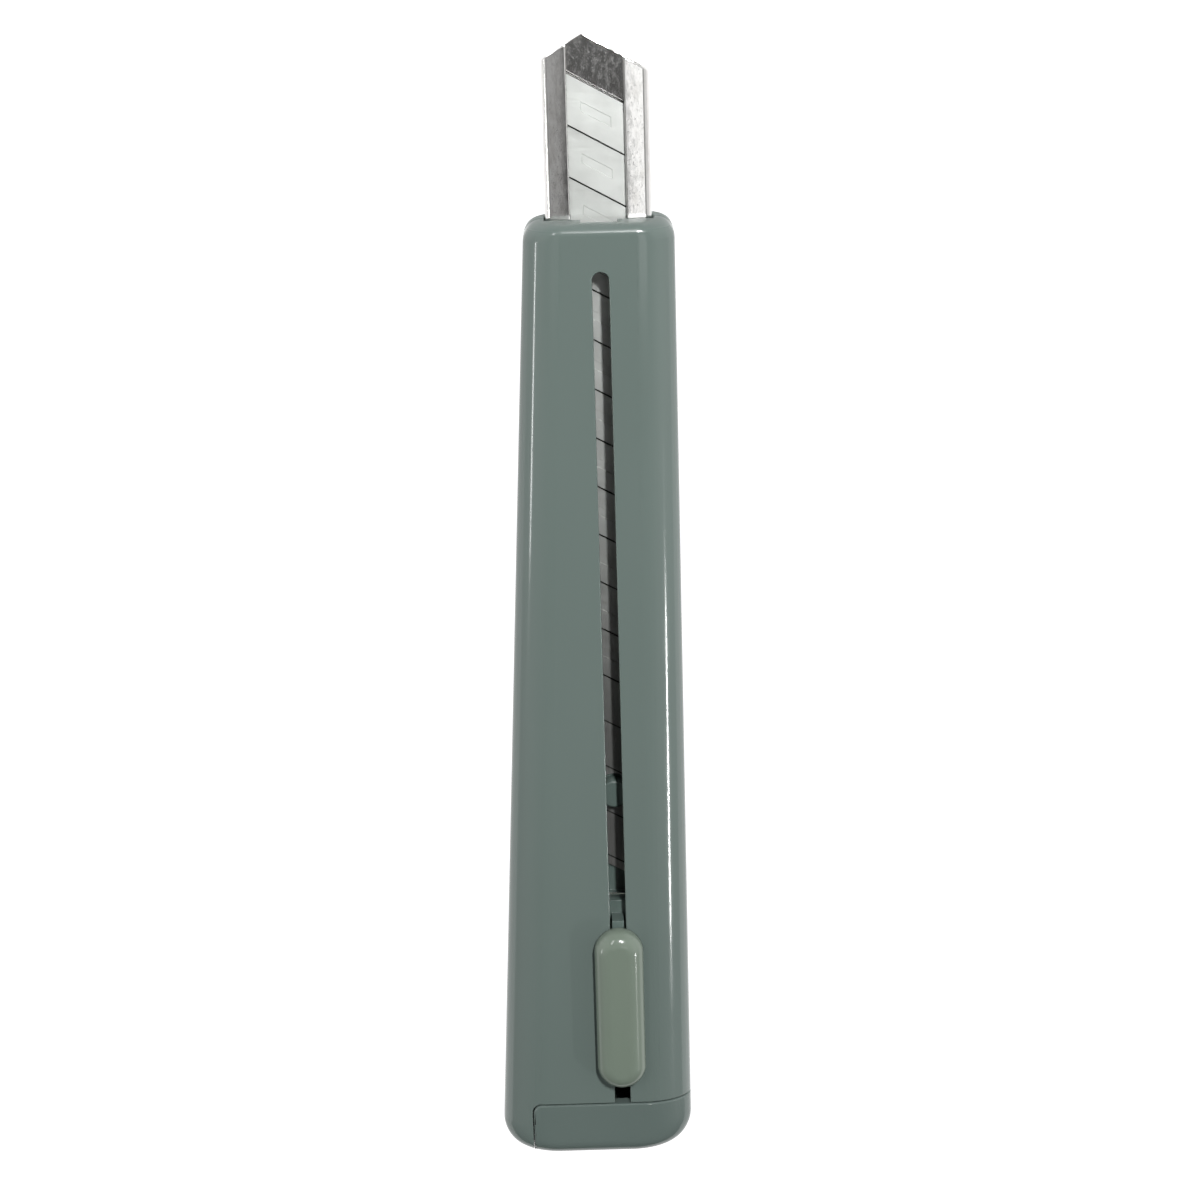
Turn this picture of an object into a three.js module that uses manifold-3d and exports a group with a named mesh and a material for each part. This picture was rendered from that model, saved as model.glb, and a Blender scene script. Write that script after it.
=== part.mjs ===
// Snap-off utility knife for 9 mm blades, lying on its back with the blade drawn in.
//
// Units are millimetres and +Z is up, out of the front face that carries the thumb button.
// The pieces are built in the knife's own frame: X = 0 is the centre line of the blade and of
// the slot, Y = 0 is the casing's nose end with +Y towards the blade tip, and Z = 0 is the
// back face. One group at the end shifts that frame to the middle of the knife's footprint.

import * as THREE from 'three';
import { LoftGeometry } from 'three/addons/geometries/LoftGeometry.js';
import { mergeVertices } from 'three/addons/utils/BufferGeometryUtils.js';
import Module from 'manifold-3d';

const wasm = await Module();
wasm.setup();

// ---- Driving dimensions ----------------------------------------------------------------

// Casing
const CASE_LENGTH = 100.2;
const CASE_THICKNESS = 9.6;
const CASE_NOSE_WIDTH = 14.7;
const CASE_TAIL_WIDTH = 20.4;
const CASE_WALL = 1.5;
const SIDE_ROUND_ACROSS = 3.7;
const SIDE_ROUND_DEPTH = 3.0;
const NOSE_CORNER_RADIUS = 1.7;
const NOSE_EDGE_RADIUS = 1.0;
const BUTT_CORNER_RADIUS = 3.9;
const BUTT_EDGE_RADIUS = 1.8;
const RIB_THICKNESS = 1.2;
const RIB_COUNT = 6;
const NARROWEST_POCKET = 1.0;

// Slot in the front face
const SLOT_WIDTH = 1.65;
const SLOT_FROM_NOSE = 4.6;

// Blade
const BLADE_WIDTH = 9.0;
const BLADE_LENGTH = 81.0;
const BLADE_THICKNESS = 0.38;
const BLADE_POINT_ANGLE = THREE.MathUtils.degToRad(29);
const BLADE_SCORE_PITCH = 5.0;
const BLADE_SCORE_COUNT = 12;
const BLADE_SCORE_DEPTH = 0.12;
const BLADE_SCORE_WIDTH = 0.16;
const BLADE_HOLE_DIAMETER = 3.7;
const BLADE_HOLE_FROM_TAIL = 8.7;
const BLADE_BEVEL = 1.1;
const BLADE_EDGE_THICKNESS = 0.06;
const BLADE_SETBACK = 5.1;

// Folded steel channel that guides the blade
const CHANNEL_SHEET = 0.5;
const CHANNEL_OVERHANG = 17.6;
const CHANNEL_LIP = 2.45;
const CHANNEL_FOLD_RADIUS = 0.7;
const CHANNEL_PEAK_SHARE = 0.39;
const CHANNEL_PIN_HOLE = 3.0;
const CHANNEL_PIN_FROM_NOSE = 9.0;

// Slide: carrier, button and lock spring
const CARRIER_PLATE = 0.5;
const CARRIER_PLATE_LENGTH = 31.5;
const CARRIER_AHEAD_OF_PEG = 3.5;
const CARRIER_PAD_LENGTH = 16.5;
const CARRIER_PAD_HEIGHT = 1.7;
const CARRIER_TAB_LENGTH = 1.8;
const CARRIER_TAB_HEIGHT = 2.8;
const PEG_DIAMETER = 3.0;
const PEG_HEIGHT = 2.6;
const BUTTON_WIDTH = 5.1;
const BUTTON_LENGTH = 18.1;
const BUTTON_HEIGHT = 2.2;
const BUTTON_EDGE_ACROSS = 1.6;
const BUTTON_EDGE_DEPTH = 1.3;
const BUTTON_BEHIND_TAB = 2.0;
const STEM_AHEAD_OF_BUTTON = 0.6;
const TENON_SETBACK = 1.3;
const TENON_HEIGHT = 1.1;
const SPRING_SHEET = 0.3;
const SPRING_TIP_LENGTH = 1.2;
const SPRING_SETBACK = 1.8;

// Click stops in the front wall
const RACK_PITCH = 2.5;
const RACK_DEPTH = 0.6;
const RACK_NOTCH_WIDTH = 1.6;

// Tail cap
const CAP_LENGTH = 6.3;
const CAP_STRIP_WIDTH = 3.4;
const CAP_CORNER_RADIUS = 1.0;
const CAP_WALL = 1.2;
const CAP_END_WALL = 2.2;
const CAP_LEG_REACH = 5.0;
const CAP_LEG_HEIGHT = 4.4;

// Clearances
const SEAM_GAP = 0.2;
const SHELL_GAP = 0.1;
const STACK_GAP = 0.1;
const BLADE_SIDE_GAP = 0.2;
const CHANNEL_FIT = 0.15;
const SLIDE_GAP = 0.2;
const FACE_GAP = 0.2;
const PAD_SIDE_GAP = 0.45;
const SPRING_SIDE_GAP = 0.1;
const CUT_GAP = 0.3;
const CHANNEL_TO_LEG_GAP = 1.0;

// ---- Sizes that follow -----------------------------------------------------------------

const NOSE_HALF = CASE_NOSE_WIDTH / 2;
const FLARE = (CASE_TAIL_WIDTH - CASE_NOSE_WIDTH) / CASE_LENGTH;
const BUTT_Y = -CASE_LENGTH;
const SEAM_Y = BUTT_Y + CAP_LENGTH;
const MID_Z = CASE_THICKNESS / 2;
const FRONT_WALL_Z = CASE_THICKNESS - CASE_WALL;
const OUTSIDE = CASE_LENGTH;

const CHANNEL_WIDTH = BLADE_WIDTH + 2 * (BLADE_SIDE_GAP + CHANNEL_SHEET);
const CHANNEL_HALF = CHANNEL_WIDTH / 2;
const CHANNEL_STACK = 2 * STACK_GAP + CARRIER_PLATE + BLADE_THICKNESS + SLIDE_GAP;
const CHANNEL_HEIGHT = 2 * CHANNEL_SHEET + CHANNEL_STACK;
const CHANNEL_BOTTOM_Z = MID_Z - CHANNEL_HEIGHT / 2;
const CHANNEL_TOP_Z = MID_Z + CHANNEL_HEIGHT / 2;
const CHANNEL_TIP_Y = CHANNEL_OVERHANG;
const CHANNEL_TAIL_Y = SEAM_Y + CAP_LEG_REACH + CHANNEL_TO_LEG_GAP;

const PLATE_Z = CHANNEL_BOTTOM_Z + CHANNEL_SHEET + STACK_GAP;
const PLATE_TOP_Z = PLATE_Z + CARRIER_PLATE;
const BLADE_Z = PLATE_TOP_Z + STACK_GAP;
const BLADE_TOP_Z = BLADE_Z + BLADE_THICKNESS;

const BLADE_TIP_Y = CHANNEL_TIP_Y - BLADE_SETBACK;
const BLADE_TAIL_Y = BLADE_TIP_Y - BLADE_LENGTH;
const BLADE_HOLE_Y = BLADE_TAIL_Y + BLADE_HOLE_FROM_TAIL;

const PAD_WIDTH = CHANNEL_WIDTH - 2 * (CHANNEL_LIP + PAD_SIDE_GAP);
const SPRING_WIDTH = PAD_WIDTH - 2 * SPRING_SIDE_GAP;
const STEM_WIDTH = SLOT_WIDTH - 2 * SLIDE_GAP;
const PAD_TOP_Z = PLATE_TOP_Z + CARRIER_PAD_HEIGHT;
const PLATE_FRONT_Y = BLADE_HOLE_Y + CARRIER_AHEAD_OF_PEG;
const PLATE_TAIL_Y = PLATE_FRONT_Y - CARRIER_PLATE_LENGTH;
const PAD_FRONT_Y = PLATE_TAIL_Y + CARRIER_PAD_LENGTH;
const BUTTON_FRONT_Y = PAD_FRONT_Y - BUTTON_BEHIND_TAB;
const BUTTON_Z = CASE_THICKNESS + FACE_GAP;
const SPRING_TIP_Y = PAD_FRONT_Y + SPRING_TIP_LENGTH;
const STEM_FRONT_Y = BUTTON_FRONT_Y + STEM_AHEAD_OF_BUTTON;
const SLOT_STOP_Y = -SLOT_FROM_NOSE - cornerInset(SLOT_WIDTH / 2, SLOT_WIDTH / 2 - STEM_WIDTH / 2);
const RACK_STEPS = Math.floor((SLOT_STOP_Y - SLIDE_GAP - STEM_FRONT_Y) / RACK_PITCH);
const SLIT_X = -(CASE_TAIL_WIDTH - NOSE_HALF) + CAP_STRIP_WIDTH;

// ---- Geometry helpers ------------------------------------------------------------------

/** Turns a closed three.js geometry into a solid that can be joined and cut. */
function solid(geometry) {
  const bare = new THREE.BufferGeometry();
  bare.setAttribute('position', geometry.attributes.position);
  bare.setIndex(geometry.index);
  const welded = mergeVertices(bare, 1e-4);
  const vertProperties = new Float32Array(welded.attributes.position.array);
  const triVerts = new Uint32Array(welded.index.array);
  return new wasm.Manifold(new wasm.Mesh({ numProp: 3, vertProperties, triVerts }));
}

/** Turns a solid back into a three.js geometry. */
function geometryOf(body) {
  const mesh = body.getMesh();
  const geometry = new THREE.BufferGeometry();
  geometry.setAttribute('position', new THREE.BufferAttribute(mesh.vertProperties, 3));
  geometry.setIndex(new THREE.BufferAttribute(mesh.triVerts, 1));
  geometry.computeVertexNormals();
  return geometry;
}

/** A block between two corners, [x, y, z] each. */
function block(low, high) {
  const size = high.map((value, axis) => value - low[axis]);
  const geometry = new THREE.BoxGeometry(...size);
  geometry.translate(...low.map((value, axis) => value + size[axis] / 2));
  return solid(geometry);
}

/** An upright prism over a plan outline of [x, y] points. */
function uprightPrism(shape, lowZ, highZ, curveSegments = 8) {
  const options = { depth: highZ - lowZ, bevelEnabled: false, curveSegments };
  const geometry = new THREE.ExtrudeGeometry(shape, options);
  geometry.translate(0, 0, lowZ);
  return solid(geometry);
}

/** A prism along Y whose section is drawn in X and Z. */
function lengthwisePrism(shape, lowY, highY, curveSegments = 4) {
  const options = { depth: highY - lowY, bevelEnabled: false, curveSegments };
  const geometry = new THREE.ExtrudeGeometry(shape, options);
  geometry.rotateX(Math.PI / 2);
  geometry.translate(0, highY, 0);
  return solid(geometry);
}

/** A prism along X whose outline is drawn in Y and Z. */
function crosswisePrism(points, lowX, highX) {
  const shape = new THREE.Shape(points.map(([y, z]) => new THREE.Vector2(y, z)));
  const geometry = new THREE.ExtrudeGeometry(shape, { depth: highX - lowX, bevelEnabled: false });
  geometry.rotateY(Math.PI / 2);
  geometry.rotateX(Math.PI / 2);
  geometry.translate(lowX, 0, 0);
  return solid(geometry);
}

/** An upright round post or bore cutter. */
function post(x, y, diameter, lowZ, highZ, sides = 32) {
  const geometry = new THREE.CylinderGeometry(diameter / 2, diameter / 2, highZ - lowZ, sides);
  geometry.rotateX(Math.PI / 2);
  geometry.translate(x, y, (lowZ + highZ) / 2);
  return solid(geometry);
}

/** A plan outline with straight sides and round ends along Y. */
function pillShape(width, lowY, highY) {
  const radius = width / 2;
  const shape = new THREE.Shape();
  shape.absarc(0, highY - radius, radius, 0, Math.PI, false);
  shape.absarc(0, lowY + radius, radius, Math.PI, 2 * Math.PI, false);
  return shape;
}

/** How far a round corner has drawn in at a distance from the face that it meets. */
function cornerInset(radius, distance) {
  const reach = radius - Math.min(distance, radius);
  return radius - Math.sqrt(radius * radius - reach * reach);
}

/** One closed section across the casing: a rectangle with elliptical corners. */
function casingSection(y, left, right, low, high, across, depth, steps = 5) {
  const corners = [
    [left + across, high - depth, Math.PI],
    [right - across, high - depth, Math.PI / 2],
    [right - across, low + depth, 0],
    [left + across, low + depth, -Math.PI / 2],
  ];
  return corners.flatMap(([x, z, start]) => Array.from({ length: steps + 1 }, (_, step) => {
    const angle = start - (step / steps) * (Math.PI / 2);
    return new THREE.Vector3(x + across * Math.cos(angle), y, z + depth * Math.sin(angle));
  }));
}

/** The casing's left edge in plan; the flare is all on this side. */
function leftEdge(y) {
  return -NOSE_HALF + FLARE * y;
}

// ---- Casing ----------------------------------------------------------------------------

/** The casing's outer shape, with the cap and both shells still in one. */
function casingOuter() {
  const section = (y, planInset, edgeInset) => casingSection(
    y, leftEdge(y) + planInset, NOSE_HALF - planInset,
    edgeInset, CASE_THICKNESS - edgeInset, SIDE_ROUND_ACROSS, SIDE_ROUND_DEPTH - edgeInset,
  );
  const endSections = (cornerRadius, edgeRadius, steps, yAt) => (
    Array.from({ length: steps + 1 }, (_, step) => {
      const distance = cornerRadius * (1 - Math.cos((step / steps) * (Math.PI / 2)));
      const planInset = cornerInset(cornerRadius, distance);
      return section(yAt(distance), planInset, cornerInset(edgeRadius, distance));
    })
  );
  const butt = endSections(BUTT_CORNER_RADIUS, BUTT_EDGE_RADIUS, 6, (distance) => BUTT_Y + distance);
  const nose = endSections(NOSE_CORNER_RADIUS, NOSE_EDGE_RADIUS, 4, (distance) => -distance);
  const sections = [...butt, ...nose.reverse()];
  return new LoftGeometry(sections, { capStart: true, capEnd: true });
}

/** The hollow inside the casing, open at the cap's seam. */
function casingHollow() {
  const section = (y) => casingSection(
    y, leftEdge(y) + CASE_WALL, NOSE_HALF - CASE_WALL, CASE_WALL, FRONT_WALL_Z,
    SIDE_ROUND_ACROSS - CASE_WALL, SIDE_ROUND_DEPTH - CASE_WALL, 3,
  );
  const sections = [section(SEAM_Y - SEAM_GAP), section(-CASE_WALL)];
  return solid(new LoftGeometry(sections, { capStart: true, capEnd: true }));
}

/** The corner of the casing that the cap takes up, drawn in by a gap for the cap itself. */
function capRegion(gap) {
  const left = SLIT_X + gap;
  const top = SEAM_Y - gap;
  const radius = CAP_CORNER_RADIUS;
  const shape = new THREE.Shape();
  shape.moveTo(left, BUTT_Y - OUTSIDE);
  shape.lineTo(OUTSIDE, BUTT_Y - OUTSIDE);
  shape.lineTo(OUTSIDE, top);
  shape.lineTo(left + radius, top);
  shape.absarc(left + radius, top - radius, radius, Math.PI / 2, Math.PI, false);
  return uprightPrism(shape, -OUTSIDE, OUTSIDE, 5);
}

/** The places of the cross ribs along the casing. */
function ribPlaces() {
  const first = -CASE_WALL - RIB_THICKNESS;
  const last = CHANNEL_TAIL_Y + 2 * RIB_THICKNESS;
  return Array.from({ length: RIB_COUNT }, (_, index) => (
    first + ((last - first) * (index + 0.5)) / RIB_COUNT
  ));
}

/** Rails beside the channel and ribs across the casing, over the casing's full thickness. */
function bedGrid() {
  const inner = CHANNEL_HALF + CHANNEL_FIT;
  const rail = (from, to) => block([from, CHANNEL_TAIL_Y, 0], [to, -CASE_WALL / 2, CASE_THICKNESS]);
  const narrowWidth = inner + RIB_THICKNESS + NARROWEST_POCKET + CASE_WALL - NOSE_HALF;
  const narrowY = -Math.max(narrowWidth, 0) / FLARE - CASE_WALL;
  const narrowEnd = block([-OUTSIDE, narrowY, 0], [-inner, 0, CASE_THICKNESS]);
  let grid = rail(-inner - RIB_THICKNESS, -inner).add(rail(inner, NOSE_HALF)).add(narrowEnd);
  for (const y of ribPlaces()) {
    const half = RIB_THICKNESS / 2;
    const rib = block([-OUTSIDE, y - half, 0], [NOSE_HALF, y + half, CASE_THICKNESS]);
    grid = grid.add(rib);
  }
  return grid;
}

/** The room that the channel and the slide need between the two shells. */
function slideWay() {
  const side = CHANNEL_HALF + CHANNEL_FIT;
  const channelRoom = block(
    [-side, SEAM_Y, CHANNEL_BOTTOM_Z - STACK_GAP],
    [side, OUTSIDE, CHANNEL_TOP_Z + STACK_GAP],
  );
  const half = CHANNEL_HALF - CHANNEL_LIP + CUT_GAP;
  const padRoom = block([-half, SEAM_Y, MID_Z], [half, -CASE_WALL, FRONT_WALL_Z]);
  const pegHalf = PEG_DIAMETER / 2 + CUT_GAP;
  const pegRoom = block([-pegHalf, SEAM_Y, MID_Z], [pegHalf, OUTSIDE, PLATE_TOP_Z + PEG_HEIGHT + CUT_GAP]);
  return channelRoom.add(padRoom).add(pegRoom);
}

/** The V notches on the underside of the front wall that the spring clicks into. */
function rackCut() {
  const half = RACK_NOTCH_WIDTH / 2;
  const below = FRONT_WALL_Z - CUT_GAP;
  const points = [[SPRING_TIP_Y - half, below]];
  for (let step = 0; step <= RACK_STEPS; step += 1) {
    const y = SPRING_TIP_Y - SPRING_SHEET / 2 + step * RACK_PITCH;
    points.push([y - half, FRONT_WALL_Z], [y, FRONT_WALL_Z + RACK_DEPTH], [y + half, FRONT_WALL_Z]);
  }
  points.push([points.at(-1)[0], below]);
  const side = SPRING_WIDTH / 2 + SLIDE_GAP;
  return crosswisePrism(points, -side, side);
}

const casing = solid(casingOuter());
const capRoom = capRegion(0);

/** The casing's wall, ribs and rails, with the way for the channel and the slide cut out. */
function casingBody() {
  const pockets = casingHollow().subtract(bedGrid());
  return casing.subtract(pockets).subtract(capRoom).subtract(slideWay());
}

const body = casingBody();

function frontShell() {
  const slot = uprightPrism(
    pillShape(SLOT_WIDTH, SEAM_Y - SLOT_WIDTH, -SLOT_FROM_NOSE), MID_Z, OUTSIDE,
  );
  const below = block([-OUTSIDE, -OUTSIDE * 2, -OUTSIDE], [OUTSIDE, OUTSIDE, MID_Z + SHELL_GAP / 2]);
  return body.subtract(below).subtract(slot).subtract(rackCut());
}

function backShell() {
  const above = block([-OUTSIDE, -OUTSIDE * 2, MID_Z - SHELL_GAP / 2], [OUTSIDE, OUTSIDE, OUTSIDE]);
  const pinDiameter = CHANNEL_PIN_HOLE - 2 * CUT_GAP;
  const pin = post(0, -CHANNEL_PIN_FROM_NOSE, pinDiameter, CASE_WALL / 2, CHANNEL_BOTTOM_Z + CHANNEL_SHEET);
  const seatDiameter = pinDiameter + 2 * CASE_WALL;
  const seat = post(0, -CHANNEL_PIN_FROM_NOSE, seatDiameter, CASE_WALL / 2, CHANNEL_BOTTOM_Z - STACK_GAP);
  return body.subtract(above).add(seat).add(pin);
}

function tailCap() {
  const shell = casing.intersect(capRegion(SEAM_GAP));
  const left = SLIT_X + SEAM_GAP + CAP_WALL;
  const right = NOSE_HALF - CASE_WALL;
  const cupSection = (y) => casingSection(
    y, left, right, CASE_WALL, FRONT_WALL_Z,
    SIDE_ROUND_ACROSS - CASE_WALL, SIDE_ROUND_DEPTH - CASE_WALL, 3,
  );
  const cup = new LoftGeometry(
    [cupSection(BUTT_Y + CAP_END_WALL), cupSection(SEAM_Y + SEAM_GAP)],
    { capStart: true, capEnd: true },
  );
  const legTail = BUTT_Y + CAP_END_WALL / 2;
  const leg = (fromX, toX) => block(
    [fromX, legTail, MID_Z - CAP_LEG_HEIGHT / 2],
    [toX, SEAM_Y + CAP_LEG_REACH, MID_Z + CAP_LEG_HEIGHT / 2],
  );
  const rightLegX = right - CUT_GAP;
  return shell.subtract(solid(cup))
    .add(leg(left, left + CAP_WALL))
    .add(leg(rightLegX - CAP_WALL, rightLegX));
}

// ---- Channel and blade -----------------------------------------------------------------

/** The folded sheet's section: a floor, two sides and two lips turned in over the blade. */
function channelSection() {
  const half = CHANNEL_HALF;
  const outer = CHANNEL_FOLD_RADIUS;
  const inner = CHANNEL_FOLD_RADIUS - CHANNEL_SHEET;
  const low = CHANNEL_BOTTOM_Z;
  const high = CHANNEL_TOP_Z;
  const lipX = half - CHANNEL_LIP;
  const quarter = Math.PI / 2;
  const shape = new THREE.Shape();
  shape.moveTo(lipX, high);
  shape.lineTo(lipX, high - CHANNEL_SHEET);
  shape.absarc(half - outer, high - outer, inner, quarter, 0, true);
  shape.absarc(half - outer, low + outer, inner, 0, -quarter, true);
  shape.absarc(-half + outer, low + outer, inner, -quarter, -2 * quarter, true);
  shape.absarc(-half + outer, high - outer, inner, 2 * quarter, quarter, true);
  shape.lineTo(-lipX, high - CHANNEL_SHEET);
  shape.lineTo(-lipX, high);
  shape.absarc(-half + outer, high - outer, outer, quarter, 2 * quarter, false);
  shape.absarc(-half + outer, low + outer, outer, 2 * quarter, 3 * quarter, false);
  shape.absarc(half - outer, low + outer, outer, -quarter, 0, false);
  shape.absarc(half - outer, high - outer, outer, 0, quarter, false);
  return shape;
}

function bladeChannel() {
  const sheet = lengthwisePrism(channelSection(), CHANNEL_TAIL_Y, CHANNEL_TIP_Y);
  const peakX = -CHANNEL_HALF + CHANNEL_PEAK_SHARE * CHANNEL_WIDTH;
  const slope = Math.tan(BLADE_POINT_ANGLE);
  const reach = CHANNEL_WIDTH;
  const outline = new THREE.Shape();
  outline.moveTo(-reach, CHANNEL_TAIL_Y - reach);
  outline.lineTo(reach, CHANNEL_TAIL_Y - reach);
  outline.lineTo(reach, CHANNEL_TIP_Y - (reach - peakX) * slope);
  outline.lineTo(peakX, CHANNEL_TIP_Y);
  outline.lineTo(-reach, CHANNEL_TIP_Y - (reach + peakX) * slope);
  const trimmed = sheet.intersect(uprightPrism(outline, 0, CASE_THICKNESS));
  const hole = post(0, -CHANNEL_PIN_FROM_NOSE, CHANNEL_PIN_HOLE, 0, MID_Z);
  return trimmed.subtract(hole);
}

/** A line across the blade at its slant, as the Y of the line at a given X. */
function slantedY(y, x) {
  return y - x * Math.tan(BLADE_POINT_ANGLE);
}

function snapOffBlade() {
  const half = BLADE_WIDTH / 2;
  const middle = (BLADE_Z + BLADE_TOP_Z) / 2;
  const edge = BLADE_EDGE_THICKNESS / 2;
  const section = new THREE.Shape();
  section.moveTo(-half, middle - edge);
  section.lineTo(-half + BLADE_BEVEL, BLADE_Z);
  section.lineTo(half, BLADE_Z);
  section.lineTo(half, BLADE_TOP_Z);
  section.lineTo(-half + BLADE_BEVEL, BLADE_TOP_Z);
  section.lineTo(-half, middle + edge);
  const strip = lengthwisePrism(section, BLADE_TAIL_Y - BLADE_WIDTH, BLADE_TIP_Y + BLADE_WIDTH);
  const outline = new THREE.Shape([
    new THREE.Vector2(-BLADE_WIDTH, slantedY(BLADE_TAIL_Y, -BLADE_WIDTH)),
    new THREE.Vector2(BLADE_WIDTH, slantedY(BLADE_TAIL_Y, BLADE_WIDTH)),
    new THREE.Vector2(BLADE_WIDTH, slantedY(BLADE_TIP_Y, BLADE_WIDTH)),
    new THREE.Vector2(-BLADE_WIDTH, slantedY(BLADE_TIP_Y, -BLADE_WIDTH)),
  ]);
  let blade = strip.intersect(uprightPrism(outline, 0, CASE_THICKNESS));
  for (let score = 1; score <= BLADE_SCORE_COUNT; score += 1) {
    blade = blade.subtract(scoreCut(BLADE_TIP_Y - score * BLADE_SCORE_PITCH));
  }
  return blade.subtract(post(0, BLADE_HOLE_Y, BLADE_HOLE_DIAMETER, 0, CASE_THICKNESS));
}

/** The V groove pressed across the blade where a segment snaps off. */
function scoreCut(y) {
  const bottom = BLADE_TOP_Z - BLADE_SCORE_DEPTH;
  const top = BLADE_TOP_Z + BLADE_SCORE_DEPTH;
  const groove = new THREE.Shape([
    new THREE.Vector2(0, bottom),
    new THREE.Vector2(BLADE_SCORE_WIDTH, top),
    new THREE.Vector2(-BLADE_SCORE_WIDTH, top),
  ]);
  const geometry = new THREE.ExtrudeGeometry(groove, { depth: 2 * BLADE_WIDTH, bevelEnabled: false });
  geometry.translate(0, 0, -BLADE_WIDTH);
  geometry.rotateX(Math.PI / 2);
  geometry.rotateZ(Math.PI / 2 - BLADE_POINT_ANGLE);
  geometry.translate(0, y, 0);
  return solid(geometry);
}

// ---- Slide -----------------------------------------------------------------------------

function bladeCarrier() {
  const plateHalf = BLADE_WIDTH / 2;
  const padHalf = PAD_WIDTH / 2;
  const stemHalf = STEM_WIDTH / 2;
  const tail = BUTTON_FRONT_Y - BUTTON_LENGTH + TENON_SETBACK;
  const plate = block([-plateHalf, PLATE_TAIL_Y, PLATE_Z], [plateHalf, PLATE_FRONT_Y, PLATE_TOP_Z]);
  const pad = block([-padHalf, PLATE_TAIL_Y, PLATE_Z], [padHalf, PAD_FRONT_Y, PAD_TOP_Z]);
  const tab = block(
    [-stemHalf, PAD_FRONT_Y - 2 * CARRIER_TAB_LENGTH, PLATE_Z],
    [stemHalf, PAD_FRONT_Y, PLATE_TOP_Z + CARRIER_TAB_HEIGHT],
  );
  const stem = block([-stemHalf, tail, PLATE_Z], [stemHalf, STEM_FRONT_Y, BUTTON_Z - STACK_GAP]);
  const tenonFront = BUTTON_FRONT_Y - TENON_SETBACK;
  const tenon = block([-stemHalf, tail, PLATE_Z], [stemHalf, tenonFront, BUTTON_Z + TENON_HEIGHT]);
  const peg = post(0, BLADE_HOLE_Y, PEG_DIAMETER, PLATE_Z, PLATE_TOP_Z + PEG_HEIGHT);
  return plate.add(pad).add(tab).add(stem).add(tenon).add(peg);
}

/** The button's outer shape: pill outlines stacked up and drawn in towards the top. */
function buttonOuter() {
  const steps = 5;
  const heights = [[0, 0]];
  for (let step = 0; step <= steps; step += 1) {
    const angle = (step / steps) * (Math.PI / 2);
    heights.push([
      BUTTON_HEIGHT - BUTTON_EDGE_DEPTH * (1 - Math.sin(angle)),
      BUTTON_EDGE_ACROSS * (1 - Math.cos(angle)),
    ]);
  }
  const sections = heights.map(([height, inset]) => {
    const tail = BUTTON_FRONT_Y - BUTTON_LENGTH + inset;
    const outline = pillShape(BUTTON_WIDTH - 2 * inset, tail, BUTTON_FRONT_Y - inset).getPoints(9);
    const ring = outline.slice(0, -1);
    return ring.map((point) => new THREE.Vector3(point.x, point.y, BUTTON_Z + height));
  });
  return solid(new LoftGeometry(sections, { capStart: true, capEnd: true }));
}

function thumbButton() {
  const stemHalf = STEM_WIDTH / 2 + STACK_GAP;
  const front = BUTTON_FRONT_Y - TENON_SETBACK + STACK_GAP;
  const tail = BUTTON_FRONT_Y - BUTTON_LENGTH + TENON_SETBACK - STACK_GAP;
  const pocket = block([-stemHalf, tail, 0], [stemHalf, front, BUTTON_Z + TENON_HEIGHT + STACK_GAP]);
  return buttonOuter().subtract(pocket);
}

/** The forked steel leaf: flat on the pad, rising to a tip bent up into the rack. */
function lockSpring() {
  const flatZ = PAD_TOP_Z + STACK_GAP;
  const tailY = PLATE_TAIL_Y + SPRING_SETBACK;
  const bendY = (PAD_FRONT_Y + PLATE_TAIL_Y) / 2;
  const kneeY = PAD_FRONT_Y + CUT_GAP;
  const kneeZ = FRONT_WALL_Z - SPRING_SHEET - SLIDE_GAP;
  const tipZ = FRONT_WALL_Z + RACK_DEPTH / 2;
  const profile = [
    [tailY, flatZ], [bendY, flatZ], [kneeY, kneeZ], [SPRING_TIP_Y, tipZ - SPRING_SHEET],
    [SPRING_TIP_Y - SPRING_SHEET / 2, tipZ], [kneeY - SPRING_SHEET / 2, kneeZ + SPRING_SHEET],
    [bendY - SPRING_SHEET / 2, flatZ + SPRING_SHEET], [tailY, flatZ + SPRING_SHEET],
  ];
  const leaf = crosswisePrism(profile, -SPRING_WIDTH / 2, SPRING_WIDTH / 2);
  const forkHalf = STEM_WIDTH / 2 + CUT_GAP;
  const fork = block(
    [-forkHalf, BUTTON_FRONT_Y - BUTTON_LENGTH, 0], [forkHalf, kneeY, CASE_THICKNESS],
  );
  return leaf.subtract(fork);
}

// ---- Assembly --------------------------------------------------------------------------

const CASING_PLASTIC = { color: 0x6f7b77, roughness: 0.22, metalness: 0 };
const BUTTON_PLASTIC = { color: 0x77827a, roughness: 0.3, metalness: 0 };
const CARRIER_PLASTIC = { color: 0x59625f, roughness: 0.5, metalness: 0 };
const FOLDED_STEEL = { color: 0xc4c4c0, roughness: 0.3, metalness: 1 };
const BLADE_STEEL = { color: 0xd0d3ce, roughness: 0.35, metalness: 1 };
const SPRING_STEEL = { color: 0xb8b8b4, roughness: 0.25, metalness: 1 };

const pieces = [
  ['front_shell', frontShell(), CASING_PLASTIC],
  ['back_shell', backShell(), CASING_PLASTIC],
  ['tail_cap', tailCap(), CASING_PLASTIC],
  ['blade_channel', bladeChannel(), FOLDED_STEEL],
  ['snap_off_blade', snapOffBlade(), BLADE_STEEL],
  ['blade_carrier', bladeCarrier(), CARRIER_PLASTIC],
  ['thumb_button', thumbButton(), BUTTON_PLASTIC],
  ['lock_spring', lockSpring(), SPRING_STEEL],
];

const knife = new THREE.Group();
for (const [name, shape, finish] of pieces) {
  const mesh = new THREE.Mesh(geometryOf(shape), new THREE.MeshStandardMaterial(finish));
  mesh.name = name;
  knife.add(mesh);
}

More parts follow.
